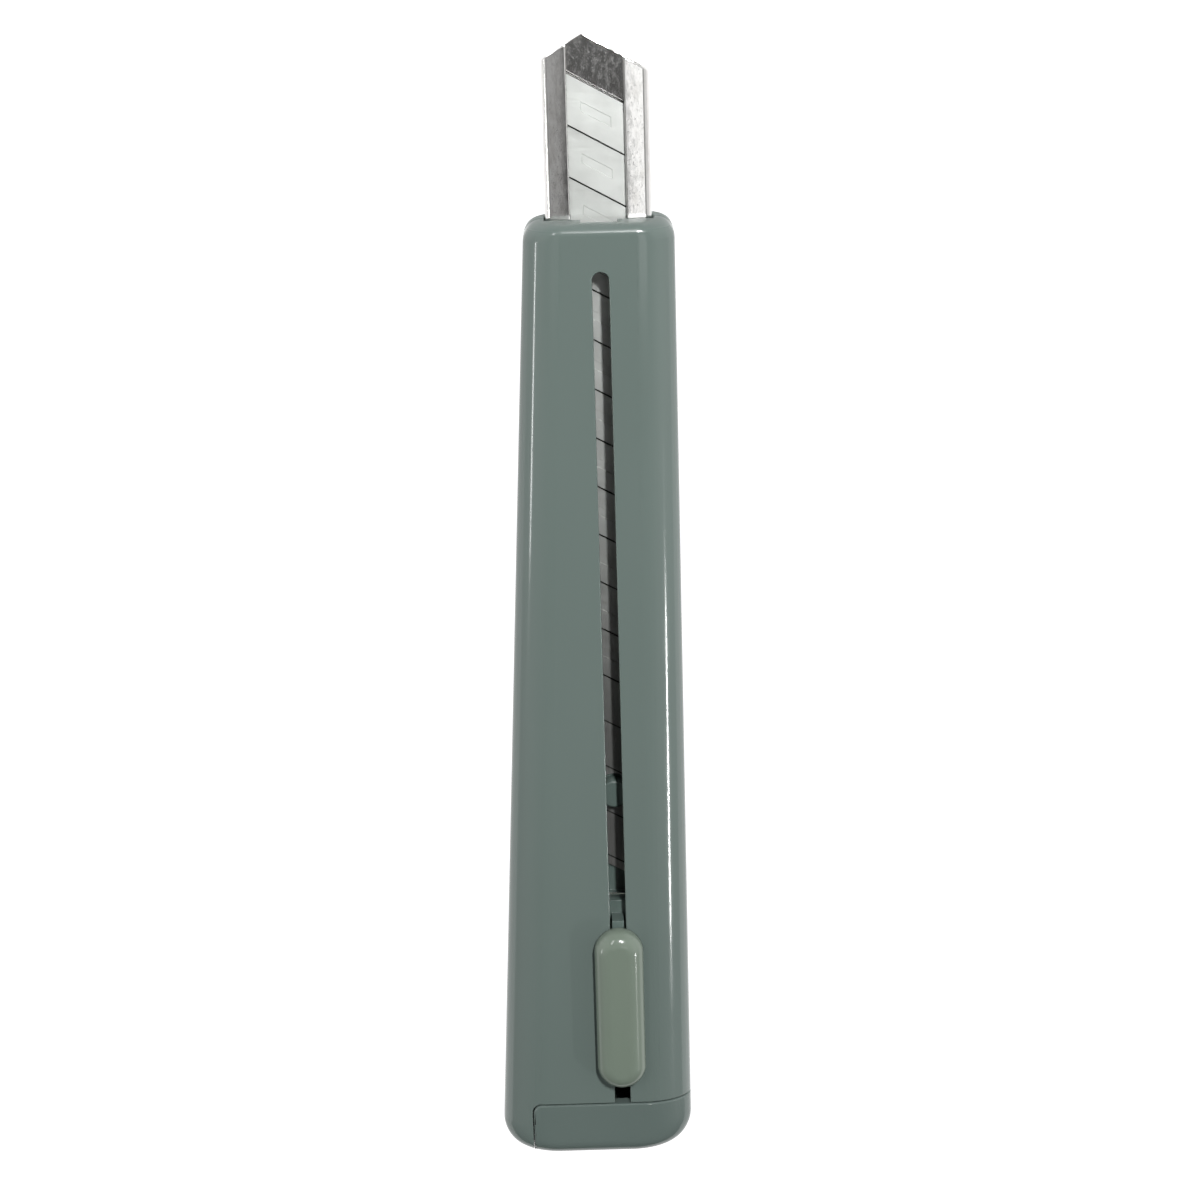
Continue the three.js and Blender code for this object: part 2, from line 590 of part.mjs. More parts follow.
const outline = casingOuter();
outline.computeBoundingBox();
knife.position.set(
  -(outline.boundingBox.min.x + outline.boundingBox.max.x) / 2,
  (CASE_LENGTH - CHANNEL_OVERHANG) / 2,
  0,
);

const part = new THREE.Group();
part.add(knife);

export default part;
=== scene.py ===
"""A slim snap-off utility knife, lying on its back with the blade drawn in.

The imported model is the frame: its node boxes give the places, and each class below adds the
sizes that the boxes don't hold. Pieces are modelled in millimetres and brought to metres when
they are finished. X runs across the knife, +Y towards the blade's tip, and +Z out of the
front face with the thumb button.
"""

import logging
import math
from collections.abc import Callable
from dataclasses import dataclass
from enum import Enum

import bmesh
import bpy
from mathutils import Matrix, Vector

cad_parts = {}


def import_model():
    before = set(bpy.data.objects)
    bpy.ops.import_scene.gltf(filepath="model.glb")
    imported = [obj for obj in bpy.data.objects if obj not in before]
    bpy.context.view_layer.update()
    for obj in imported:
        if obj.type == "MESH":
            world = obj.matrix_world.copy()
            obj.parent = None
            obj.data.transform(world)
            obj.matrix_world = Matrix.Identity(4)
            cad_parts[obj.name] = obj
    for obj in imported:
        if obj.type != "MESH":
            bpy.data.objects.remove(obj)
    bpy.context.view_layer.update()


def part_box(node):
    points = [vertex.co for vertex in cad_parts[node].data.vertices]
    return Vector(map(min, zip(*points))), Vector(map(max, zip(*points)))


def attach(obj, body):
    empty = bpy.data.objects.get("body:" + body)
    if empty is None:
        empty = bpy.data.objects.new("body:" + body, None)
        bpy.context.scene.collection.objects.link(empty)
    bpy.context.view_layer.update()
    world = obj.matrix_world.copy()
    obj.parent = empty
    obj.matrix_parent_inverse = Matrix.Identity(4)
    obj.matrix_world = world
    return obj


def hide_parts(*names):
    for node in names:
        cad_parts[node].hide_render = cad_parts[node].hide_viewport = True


Mesh = bmesh.types.BMesh
Socket = bpy.types.NodeSocket
Material = bpy.types.Material

LOG = logging.getLogger("knife")
WHITE = (1.0, 1.0, 1.0, 1.0)
MM = 0.001
# In millimetres: a place beyond the knife, the same place as another, and a gap to weld shut.
OUTSIDE = 150.0
NEAR = 0.01
WELD = 0.0005


class Side(Enum):
    """The two halves of the casing."""

    FRONT = "front"
    BACK = "back"


class Cut(Enum):
    """The ways in which one solid shapes another."""

    AWAY = "DIFFERENCE"
    JOIN = "UNION"
    KEEP = "INTERSECT"


# ---- Mesh work ---------------------------------------------------------------------------


def show(name: str, data: bpy.types.ID) -> bpy.types.Object:
    """Adds an object to the scene.

    Args:
        name: The object's name.
        data: Its mesh, light or camera.

    Returns:
        The object.
    """
    item = bpy.data.objects.new(name, data)
    bpy.context.scene.collection.objects.link(item)
    return item


def show_mesh(name: str, bm: Mesh) -> bpy.types.Object:
    """Adds a mesh to the scene.

    Args:
        name: The object's name.
        bm: The mesh. It is freed.

    Returns:
        The object.
    """
    data = bpy.data.meshes.new(name)
    bm.to_mesh(data)
    bm.free()
    return show(name, data)


@dataclass(frozen=True)
class Span:
    """A box in millimetres, by its lowest and highest corners."""

    low: Vector
    high: Vector

    @classmethod
    def of_node(cls, node: str) -> "Span":
        """The box of a node of the frame.

        Args:
            node: The node's name.

        Returns:
            Its box in millimetres.
        """
        low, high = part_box(node)
        return cls(low / MM, high / MM)

    @property
    def width(self) -> float:
        """Its size across the knife."""
        return self.high.x - self.low.x

    @property
    def middle_x(self) -> float:
        """Its middle across the knife."""
        return (self.low.x + self.high.x) / 2


@dataclass(frozen=True)
class Section:
    """A cross-section of a long body, by its place along Y and its four sides."""

    y: float
    left: float
    right: float
    low: float
    high: float

    def map_from(self, other: "Section") -> Matrix:
        """The transform that carries another section onto this one.

        Args:
            other: The section that the vertices lie on now.

        Returns:
            A matrix that scales and shifts it.
        """
        across = (self.right - self.left) / (other.right - other.left)
        deep = (self.high - self.low) / (other.high - other.low)
        shift = Matrix.Translation((self.left, self.y, self.low))
        back = Matrix.Translation((-other.left, -other.y, -other.low))
        return shift @ Matrix.Diagonal((across, 1.0, deep, 1.0)) @ back


def block(low: tuple, high: tuple) -> Mesh:
    """A plain block, for cutting and joining.

    Args:
        low: Its lowest corner.
        high: Its highest corner.

    Returns:
        The block's mesh.
    """
    bm = bmesh.new()
    size = Vector(high) - Vector(low)
    middle = Matrix.Translation((Vector(high) + Vector(low)) / 2)
    bmesh.ops.create_cube(bm, size=1.0, matrix=middle @ Matrix.Diagonal((*size, 1.0)))
    return bm


def post(
    x: float, y: float, diameter: float, low: float, high: float, sides: int = 64,
) -> Mesh:
    """An upright round post.

    Args:
        x: Its centre across the knife.
        y: Its centre along the knife.
        diameter: Its width.
        low: The height of its foot.
        high: The height of its top.
        sides: The number of its sides.

    Returns:
        The post's mesh.
    """
    bm = bmesh.new()
    bmesh.ops.create_cone(
        bm, cap_ends=True, segments=sides, radius1=diameter / 2, radius2=diameter / 2,
        depth=high - low, matrix=Matrix.Translation((x, y, (low + high) / 2)),
    )
    return bm


def around(point: tuple, change: Matrix) -> Matrix:
    """A change of shape that leaves one point in its place.

    Args:
        point: The point.
        change: The change of shape.

    Returns:
        The transform.
    """
    there = Matrix.Translation(point)
    return there @ change @ there.inverted()


def cut_edges(bm: Mesh, at: tuple, normal: tuple, trim: bool = False) -> None:
    """Adds edges to a mesh where a plane crosses it.

    Args:
        bm: The mesh.
        at: A point of the plane.
        normal: The plane's normal.
        trim: Whether the mesh ends there, with nothing left on the normal's side.
    """
    parts = [*bm.verts, *bm.edges, *bm.faces]
    bmesh.ops.bisect_plane(bm, geom=parts, plane_co=at, plane_no=normal, clear_outer=trim)


def edges_where(bm: Mesh, test: Callable[[Vector], bool]) -> list:
    """The edges whose two ends both pass a test.

    Args:
        bm: The mesh.
        test: A function of a point.

    Returns:
        The edges.
    """
    return [edge for edge in bm.edges if all(test(vert.co) for vert in edge.verts)]


def round_edges(bm: Mesh, edges: list, width: float, steps: int) -> None:
    """Rounds edges off.

    Args:
        bm: The mesh.
        edges: The edges to round.
        width: How far the rounding reaches from each edge.
        steps: The number of faces across the rounding.
    """
    bmesh.ops.bevel(
        bm, geom=edges, offset=width, segments=steps, profile=0.5,
        affect="EDGES", material=-1, clamp_overlap=False,
    )


def sharp_edges(bm: Mesh, degrees: float = 40.0) -> list:
    """The edges at which a mesh turns sharply.

    Args:
        bm: The mesh.
        degrees: The least turn that counts.

    Returns:
        The edges.
    """
    limit = math.radians(degrees)
    return [edge for edge in bm.edges if edge.is_manifold and edge.calc_face_angle(0.0) > limit]


def rounded_face(bm: Mesh, at: Section, across: float, deep: float, steps: int) -> None:
    """Adds a face across the knife with elliptical corners.

    Args:
        bm: The mesh that gets the face.
        at: The face's place and sides.
        across: How far the corners reach across the knife.
        deep: How far they reach through its thickness.
        steps: The number of edges round each corner.
    """
    stretch = across / deep
    corners = (
        (at.left, at.low), (at.right, at.low), (at.right, at.high), (at.left, at.high),
    )
    verts = [bm.verts.new((x, at.y, at.low + (z - at.low) * stretch)) for x, z in corners]
    bm.faces.new(verts)
    bmesh.ops.bevel(
        bm, geom=verts, offset=across, segments=steps, profile=0.5,
        affect="VERTICES", material=-1, clamp_overlap=False,
    )
    squeeze = around((0, 0, at.low), Matrix.Diagonal((1, 1, 1 / stretch, 1)))
    bmesh.ops.transform(bm, matrix=squeeze, verts=list(bm.verts))


def sweep(sections: list, widest: Section, across: float, deep: float, steps: int) -> Mesh:
    """A closed body through a row of sections.

    Args:
        sections: The sections in order along Y.
        widest: The section on which the corners have their stated size.
        across: How far the corners reach across the knife there.
        deep: How far they reach through its thickness there.
        steps: The number of edges round each corner.

    Returns:
        The body's mesh.
    """
    bm = bmesh.new()
    rounded_face(bm, widest, across, deep, steps)
    bmesh.ops.transform(bm, matrix=sections[0].map_from(widest), verts=list(bm.verts))
    ring = list(bm.edges)
    for last, here in zip(sections, sections[1:]):
        grown = bmesh.ops.extrude_edge_only(bm, edges=ring)["geom"]
        ring = [item for item in grown if isinstance(item, bmesh.types.BMEdge)]
        verts = [item for item in grown if isinstance(item, bmesh.types.BMVert)]
        bmesh.ops.transform(bm, matrix=here.map_from(last), verts=verts)
    bmesh.ops.edgeloop_fill(bm, edges=ring)
    bmesh.ops.recalc_face_normals(bm, faces=list(bm.faces))
    return bm


def end_curve(corner: float, edge: float, steps: int) -> list:
    """The drawing-in of a body towards a rounded end.

    Args:
        corner: The radius of its corners in plan.
        edge: The radius of its edges seen from the side.
        steps: The number of stations on the curve.

    Returns:
        Rows of the distance from the end, the drawing-in across and that in thickness.
    """
    rows = []
    for step in range(steps + 1):
        distance = corner * (1 - math.cos(math.pi / 2 * step / steps))
        reach = [radius - min(distance, radius) for radius in (corner, edge)]
        inset = [r - math.sqrt(r * r - d * d) for r, d in zip((corner, edge), reach)]
        rows.append((distance, *inset))
    return rows


def combine(bm: Mesh, tool: Mesh, how: Cut) -> Mesh:
    """Shapes one solid with another, and frees both.

    Args:
        bm: The solid to shape.
        tool: The solid that shapes it.
        how: Whether the second is cut away, joined on or kept.

    Returns:
        The new solid.
    """
    shaped, cutter = show_mesh("shaped", bm), show_mesh("tool", tool)
    modifier = shaped.modifiers.new("cut", "BOOLEAN")
    modifier.operation = how.value
    modifier.solver = "MANIFOLD"
    modifier.object = cutter
    bpy.context.view_layer.update()
    result = bmesh.new()
    result.from_object(shaped, bpy.context.evaluated_depsgraph_get())
    for item in (shaped, cutter):
        data = item.data
        bpy.data.objects.remove(item)
        bpy.data.meshes.remove(data)
    bmesh.ops.remove_doubles(result, verts=list(result.verts), dist=WELD)
    bmesh.ops.dissolve_degenerate(result, edges=list(result.edges), dist=WELD)
    return result


def finish_piece(
    bm: Mesh, name: str, body: str, nodes: tuple,
    material: Material, even: bool = False,
) -> bpy.types.Object:
    """Makes a mesh a piece of the knife, in metres, on the body that it moves with.

    Args:
        bm: The mesh, in millimetres. It is freed.
        name: The piece's name.
        body: The body that it rides on.
        nodes: The nodes of the frame that it stands for.
        material: Its finish.
        even: Whether its large faces set the shading of their borders.

    Returns:
        The piece.
    """
    bmesh.ops.scale(bm, vec=(MM, MM, MM), verts=list(bm.verts))
    for face in bm.faces:
        face.smooth = True
    for edge in sharp_edges(bm, degrees=32.0):
        edge.smooth = False
    piece = show_mesh(name, bm)
    piece.data.materials.append(material)
    if even:
        shading = piece.modifiers.new("even_shading", "WEIGHTED_NORMAL")
        shading.keep_sharp = True
    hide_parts(*nodes)
    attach(piece, body)
    LOG.info("%s: %d faces", name, len(piece.data.polygons))
    return piece


class Piece:
    """A piece made from one mesh, with the body that it rides on and the nodes that it stands for."""

    name: str
    body: str
    slot: str
    nodes: tuple
    even: bool = True

    def mesh(self) -> Mesh:
        """The piece's mesh, in millimetres."""
        raise NotImplementedError

    def build(self, material: Material) -> None:
        """Makes the piece and dresses it.

        Args:
            material: Its finish.
        """
        finish_piece(self.mesh(), self.name, self.body, self.nodes, material, self.even)


# ---- Finishes ----------------------------------------------------------------------------


@dataclass
class NodeDesk:
    """A node tree, with short ways to add to it."""

    tree: bpy.types.NodeTree

    def add(self, kind: str) -> bpy.types.Node:
        """Adds a shader node of a kind."""
        return self.tree.nodes.new(f"ShaderNode{kind}")

    def feed(self, value, target: Socket) -> None:
        """Gives an input its value.

        Args:
            value: A plain value, or the socket that it comes from.
            target: The input.
        """
        if isinstance(value, Socket):
            self.tree.links.new(value, target)
        else:
            target.default_value = value

    def axes(self, source: Socket) -> tuple:
        """Splits a vector.

        Args:
            source: The vector.

        Returns:
            Its parts along X, Y and Z.
        """
        node = self.add("SeparateXYZ")
        self.feed(source, node.inputs["Vector"])
        return tuple(node.outputs)

    def remap(
        self, source: Socket, old: tuple, new: tuple = (0.0, 1.0), course: str = "LINEAR",
    ) -> Socket:
        """Carries a range of values onto another.

        Args:
            source: The values.
            old: The range that they have.
            new: The range that they get.
            course: How they run from one end to the other.

        Returns:
            The new values.
        """
        node = self.add("MapRange")
        node.interpolation_type = course
        for key, value in zip(("From Min", "From Max", "To Min", "To Max"), (*old, *new)):
            self.feed(value, node.inputs[key])
        self.feed(source, node.inputs["Value"])
        return node.outputs["Result"]

    def blend(self, share: Socket, *colours) -> Socket:
        """Mixes two colours by a pattern.

        Args:
            share: How much of the second colour shows.
            colours: The two colours, plain or as sockets.

        Returns:
            The mixed colour.
        """
        node = self.add("Mix")
        node.data_type = "RGBA"
        for colour, target in zip(colours, (node.inputs[6], node.inputs[7])):
            self.feed(colour if isinstance(colour, Socket) else (*colour, 1.0), target)
        self.feed(share, node.inputs[0])
        return node.outputs[2]

    def math(self, operation: str, *values) -> Socket:
        """Adds one step of arithmetic.

        Args:
            operation: The step's name.
            values: The values that it works on, as sockets or numbers.

        Returns:
            The result.
        """
        node = self.add("Math")
        node.operation = operation
        for value, target in zip(values, node.inputs):
            self.feed(value, target)
        return node.outputs[0]


class MaterialDesk(NodeDesk):
    """A new material's node tree, with patterns that lie still on the object."""

    def __init__(self, name: str) -> None:
        """Starts the material.

        Args:
            name: The material's name.
        """
        self.material = bpy.data.materials.new(name)
        self.material.use_nodes = True
        super().__init__(self.material.node_tree)
        self.place = self.add("TexCoord").outputs["Object"]

    def noise(self, scale: tuple, detail: float = 4.0, roughness: float = 0.55) -> Socket:
        """Adds a noise pattern, stretched by a scale along each axis.

        Args:
            scale: Repeats per metre along X, Y and Z.
            detail: The number of finer layers.
            roughness: The strength of the finer layers.

        Returns:
            The pattern, about 0 to 1.
        """
        mapping = self.add("Mapping")
        texture = self.add("TexNoise")
        for value, target in (
            (self.place, mapping.inputs["Vector"]),
            (scale, mapping.inputs["Scale"]),
            (mapping.outputs["Vector"], texture.inputs["Vector"]),
            (1.0, texture.inputs["Scale"]),
            (detail, texture.inputs["Detail"]),
            (roughness, texture.inputs["Roughness"]),
        ):
            self.feed(value, target)
        return texture.outputs["Fac"]

    def bump(self, height: Socket, strength: float, distance: float, under=None) -> Socket:
        """Turns heights into the lie of the surface.

        Args:
            height: The heights.
            strength: The share of the effect that shows.
            distance: The full height in metres.
            under: A coarser relief that this one lies on.

        Returns:
            The normals.
        """
        node = self.add("Bump")
        for key, value in (("Strength", strength), ("Distance", distance), ("Height", height)):
            self.feed(value, node.inputs[key])
        if under is not None:
            self.feed(under, node.inputs["Normal"])
        return node.outputs["Normal"]

    def finish(self, values: dict) -> Material:
        """Feeds the material's shader.

        Args:
            values: The values or sockets, by the names of the shader's inputs.

        Returns:
            The material.
        """
        shader = self.tree.nodes["Principled BSDF"]
        for key, value in values.items():
            self.feed(value, shader.inputs[key])
        return self.material


@dataclass(frozen=True)
class MouldedPlastic:
    """Injection-moulded plastic: one colour with a slow drift, and a slightly uneven gloss."""

    name: str
    colour: tuple
    shade: tuple
    gloss: float = 0.2
    gloss_spread: float = 0.06
    ripple: float = 0.00002
    grain: float = 0.000004
    matt_reach: float = 1.2
    matt: float = 0.55
    refraction: float = 1.5

    def make(self, matt_end: float = OUTSIDE) -> Material:
        """Builds the material.

        Args:
            matt_end: Where along the piece its matt end face lies, in millimetres.

        Returns:
            The material.
        """
        desk = MaterialDesk(self.name)
        drift = desk.remap(desk.noise((60, 25, 60), 2.0), (0.3, 0.7))
        haze = desk.noise((300, 140, 300), 6.0, 0.6)
        rough = desk.remap(haze, (0.35, 0.7), (self.gloss, self.gloss + self.gloss_spread))
        matt_from = (matt_end - self.matt_reach) * MM
        end_face = desk.remap(desk.axes(desk.place)[1], (matt_from, matt_end * MM), (0.0, self.matt))
        wave = desk.bump(desk.noise((120, 60, 120), 1.0), 0.25, self.ripple)
        return desk.finish({
            "Base Color": desk.blend(drift, self.colour, self.shade),
            "Roughness": desk.math("MAXIMUM", rough, end_face),
            "Normal": desk.bump(desk.noise((5200, 5200, 5200), 2.0), 0.12, self.grain, wave),
            "IOR": self.refraction,
        })


@dataclass(frozen=True)
class FoldedSteel:
    """Polished sheet steel with fine rolling lines, scuffs, small dents and bright specks."""

    name: str = "folded_steel"
    bright: tuple = (0.73, 0.725, 0.71)
    dull: tuple = (0.63, 0.62, 0.6)
    gloss: float = 0.07
    scuffed: float = 0.2
    dent: float = 0.00003
    line: float = 0.000003

    def make(self) -> Material:
        """Builds the material."""
        desk = MaterialDesk(self.name)
        scuff = desk.remap(desk.noise((1300, 420, 1300), 6.0, 0.65), (0.46, 0.66))
        wear = desk.noise((2400, 900, 2400), 5.0, 0.7)
        dents = desk.bump(desk.noise((340, 160, 340), 2.0), 0.4, self.dent)
        lines = desk.bump(desk.noise((6500, 130, 6500), 2.0), 0.08, self.line, dents)
        specks = desk.remap(desk.noise((5200, 4400, 5200), 2.0, 0.6), (0.63, 0.78))
        return desk.finish({
            "Base Color": desk.blend(scuff, self.bright, self.dull),
            "Roughness": desk.remap(wear, (0.42, 0.68), (self.gloss, self.scuffed)),
            "Normal": desk.bump(specks, 0.1, self.dent, lines),
            "Metallic": 1.0,
        })


@dataclass(frozen=True)
class BladeSteel:
    """Ground blade steel, with painted shade in its scores and in a line along the lips' inner edges,
    and its colour darkening towards the tail.
    """

    middle: float
    tip: float
    pitch: float
    slant: float
    name: str = "blade_steel"
    bright: tuple = (0.51, 0.525, 0.507)
    dull: tuple = (0.47, 0.485, 0.467)
    gloss: float = 0.4
    gloss_spread: float = 0.08
    # The painted shade at the scores and along the lips: how far it reaches, how dark it gets and its
    # colour.
    score_shade_reach: tuple = (0.07, 0.105)
    lip_shade_line: float = 2.86
    lip_shade_reach: tuple = (0.078, 0.13)
    lip_shade_depth: float = 0.85
    groove_and_lip_shade: tuple = (0.05, 0.05, 0.047)
    # A darker colour towards the tail, and how far behind the tip it comes in.
    tail_tone: tuple = (0.27, 0.272, 0.264)
    tail_tone_from: tuple = (40.0, 66.0)
    line: float = 0.000003
    grain: float = 0.000004

    def make(self) -> Material:
        """Builds the material."""
        desk = MaterialDesk(self.name)
        blotch = desk.remap(desk.noise((420, 300, 420), 5.0, 0.6), (0.38, 0.64))
        x, y, _ = desk.axes(desk.place)
        across = desk.math("SUBTRACT", x, self.middle * MM)
        square = desk.math("MULTIPLY_ADD", across, math.tan(self.slant), y)
        along = desk.math("SUBTRACT", square, self.tip * MM)
        # Painted shade: a dark band along each snap-off score, standing in for the shade in its groove.
        from_score = desk.math("PINGPONG", along, self.pitch * MM / 2)
        score_shade = desk.remap(from_score, tuple(far * MM for far in self.score_shade_reach), (1.0, 0.0))
        # Painted shade: a dark line on the blade along each lip's inner edge, standing in for the
        # shadow in the gap between lip and blade.
        off_line = desk.math("SUBTRACT", desk.math("ABSOLUTE", across), self.lip_shade_line * MM)
        lip_shade_reach = tuple(far * MM for far in self.lip_shade_reach)
        lip_shade = desk.remap(desk.math("ABSOLUTE", off_line), lip_shade_reach, (self.lip_shade_depth, 0.0))
        # The colour darkens towards the tail, from 40 to 66 mm behind the tip.
        tail_share = desk.remap(along, tuple(-far * MM for far in self.tail_tone_from))
        steel = desk.blend(tail_share, desk.blend(blotch, self.bright, self.dull), self.tail_tone)
        streak = desk.noise((500, 5200, 500), 3.0, 0.6)
        ground = desk.bump(streak, 0.25, self.line)
        grain = desk.noise((4500, 4500, 4500), 3.0, 0.7)
        return desk.finish({
            # Both painted shade masks darken the steel towards one dark colour.
            "Base Color": desk.blend(desk.math("MAXIMUM", score_shade, lip_shade), steel, self.groove_and_lip_shade),
            "Roughness": desk.remap(streak, (0.3, 0.7), (self.gloss, self.gloss + self.gloss_spread)),
            "Normal": desk.bump(grain, 0.2, self.grain, ground),
            "Metallic": 1.0,
        })


@dataclass(frozen=True)
class SpringSteel:
    """Smooth spring steel with fine lines along the strip."""

    name: str = "spring_steel"
    bright: tuple = (0.72, 0.71, 0.69)
    dull: tuple = (0.6, 0.59, 0.57)
    gloss: float = 0.12
    gloss_spread: float = 0.12
    line: float = 0.000003

    def make(self) -> Material:
        """Builds the material."""
        desk = MaterialDesk(self.name)
        blotch = desk.remap(desk.noise((800, 500, 800), 4.0, 0.6), (0.38, 0.64))
        streak = desk.noise((4200, 300, 4200), 3.0, 0.6)
        return desk.finish({
            "Base Color": desk.blend(blotch, self.bright, self.dull),
            "Roughness": desk.remap(streak, (0.3, 0.7), (self.gloss, self.gloss + self.gloss_spread)),
            "Normal": desk.bump(streak, 0.3, self.line),
            "Metallic": 1.0,
        })


@dataclass(frozen=True)
class Finishes:
    """The knife's plastic and sheet-steel finishes."""

    casing: MouldedPlastic = MouldedPlastic(
        "casing_plastic", (0.09, 0.115, 0.106), (0.085, 0.109, 0.1), 0.09,
    )
    # The cap's colour is the casing's darkened by about a tenth: painted shade for the darker butt.
    cap: MouldedPlastic = MouldedPlastic(
        "cap_plastic", (0.081, 0.104, 0.096), (0.076, 0.098, 0.091), 0.09,
    )
    carrier: MouldedPlastic = MouldedPlastic(
        "carrier_plastic", (0.066, 0.092, 0.082), (0.056, 0.08, 0.072), 0.42,
    )
    button: MouldedPlastic = MouldedPlastic(
        "button_plastic", (0.118, 0.146, 0.118), (0.112, 0.139, 0.112), 0.12,
    )
    channel: FoldedSteel = FoldedSteel()
    spring: SpringSteel = SpringSteel()


# ---- Casing ------------------------------------------------------------------------------


@dataclass
class Casing:
    """The moulded casing: two shells round the channel, and the tail cap's outer shape."""

    wall: float = 1.5
    side_across: float = 3.7
    side_deep: float = 3.0
    nose_corner: float = 1.7
    nose_edge: float = 1.0
    butt_corner: float = 3.9
    butt_edge: float = 1.8
    nose_width: float = 14.7
    tail_width: float = 20.4
    cap_length: float = 6.3
    cap_corner: float = 1.0
    seam_gap: float = 0.2
    shown_gap: float = 0.13
    parting_gap: float = 0.1
    slot_width: float = 1.65
    slot_from_nose: float = 4.6
    channel_room: float = 0.15
    channel_headroom: float = 0.1
    pad_room: float = 5.9
    peg_room: float = 3.6
    peg_cover: float = 0.35
    rib: float = 1.2
    rib_count: int = 6
    nose_fill: float = 31.0
    edge_round: float = 0.12

    def __post_init__(self) -> None:
        """Takes the casing's places from the frame."""
        front, back = Span.of_node("front_shell"), Span.of_node("back_shell")
        self.channel = Span.of_node("blade_channel")
        self.half_channel = self.channel.width / 2
        self.axis_x = self.channel.middle_x
        self.nose_y = front.high.y
        self.butt_y = Span.of_node("tail_cap").low.y
        self.seam_y = self.butt_y + self.cap_length
        self.top_z = front.high.z
        self.mid_z = (front.low.z + back.high.z) / 2
        self.right_x = self.axis_x + self.nose_width / 2
        self.flare = (self.tail_width - self.nose_width) / (self.nose_y - self.butt_y)
        self.slit_x = Span.of_node("tail_cap").low.x - self.seam_gap
        self.inner_corner = (self.side_across - self.wall, self.side_deep - self.wall)

    def section(self, y: float, plan_inset: float, edge_inset: float) -> Section:
        """The casing's sides at a place along it.

        Args:
            y: The place.
            plan_inset: How far both sides are drawn in.
            edge_inset: How far front and back are drawn in.

        Returns:
            The section there.
        """
        left = self.right_x - self.nose_width - self.flare * (self.nose_y - y)
        right = self.right_x - plan_inset
        return Section(y, left + plan_inset, right, edge_inset, self.top_z - edge_inset)

    def outer(self) -> Mesh:
        """The whole casing's outer shape, with the cap."""
        butt = end_curve(self.butt_corner, self.butt_edge, 16)
        nose = end_curve(self.nose_corner, self.nose_edge, 12)
        sections = [self.section(self.butt_y + d, plan, edge) for d, plan, edge in butt]
        sections += [self.section(self.nose_y - d, plan, edge) for d, plan, edge in reversed(nose)]
        middle = self.section(self.nose_y - self.nose_corner, 0.0, 0.0)
        return sweep(sections, middle, self.side_across, self.side_deep, 14)

    def hollow(self) -> Mesh:
        """The room inside the casing, less its ribs and rails."""
        ends = (self.seam_y - self.seam_gap, self.nose_y - self.wall)
        sections = [self.section(y, self.wall, self.wall) for y in ends]
        bm = sweep(sections, sections[1], *self.inner_corner, 6)
        inner = self.half_channel + self.channel_room
        tail = self.channel.low.y
        solids = [
            ((self.axis_x - inner - self.rib, tail, 0), (self.axis_x - inner, self.nose_y, OUTSIDE)),
            ((self.axis_x + inner, tail, 0), (OUTSIDE, self.nose_y, OUTSIDE)),
            ((-OUTSIDE, self.nose_y - self.nose_fill, 0), (self.axis_x - inner, self.nose_y, OUTSIDE)),
        ]
        first = self.nose_y - self.wall - self.rib
        step = (tail + 2 * self.rib - first) / self.rib_count
        for index in range(self.rib_count):
            y = first + step * (index + 0.5)
            solids.append(((-OUTSIDE, y - self.rib / 2, 0), (OUTSIDE, y + self.rib / 2, OUTSIDE)))
        for low, high in solids:
            bm = combine(bm, block(low, high), Cut.AWAY)
        return bm

    def cap_region(self, side_gap: float, seam_gap: float) -> Mesh:
        """The corner of the casing that the cap takes up.

        Args:
            side_gap: How far the region is drawn in at its side.
            seam_gap: How far it is drawn in at the seam.

        Returns:
            Its mesh, with the inner corner rounded.
        """
        corner = (self.slit_x + side_gap, self.seam_y - seam_gap)
        bm = block((corner[0], -OUTSIDE, -OUTSIDE), (OUTSIDE, corner[1], OUTSIDE))
        upright = edges_where(bm, lambda co: (co.xy - Vector(corner)).length < NEAR)
        round_edges(bm, upright, self.cap_corner, 8)
        return bm

    def slide_way(self) -> Mesh:
        """The room for the channel, the pad and the peg."""
        half = self.half_channel + self.channel_room
        low = self.channel.low.z - self.channel_headroom
        high = self.channel.high.z + self.channel_headroom
        bm = block((self.axis_x - half, self.seam_y, low), (self.axis_x + half, OUTSIDE, high))
        wall_z = self.top_z - self.wall
        for width, front, top in (
            (self.pad_room, self.nose_y - self.wall, wall_z),
            (self.peg_room, OUTSIDE, wall_z - self.peg_cover),
        ):
            half = width / 2
            low = (self.axis_x - half, self.seam_y, self.mid_z)
            bm = combine(bm, block(low, (self.axis_x + half, front, top)), Cut.JOIN)
        return bm

    def slot(self) -> Mesh:
        """The long slot in the front face, round at the nose end and open at the seam."""
        half = self.slot_width / 2
        end = self.nose_y - self.slot_from_nose
        bm = block(
            (self.axis_x - half, self.seam_y - half, self.mid_z),
            (self.axis_x + half, end, OUTSIDE),
        )
        rim = edges_where(bm, lambda co: abs(co.y - end) < NEAR)
        upright = [edge for edge in rim if abs(edge.verts[0].co.z - edge.verts[1].co.z) > 1.0]
        almost_half = half * 0.99
        round_edges(bm, upright, almost_half, 10)
        return bm

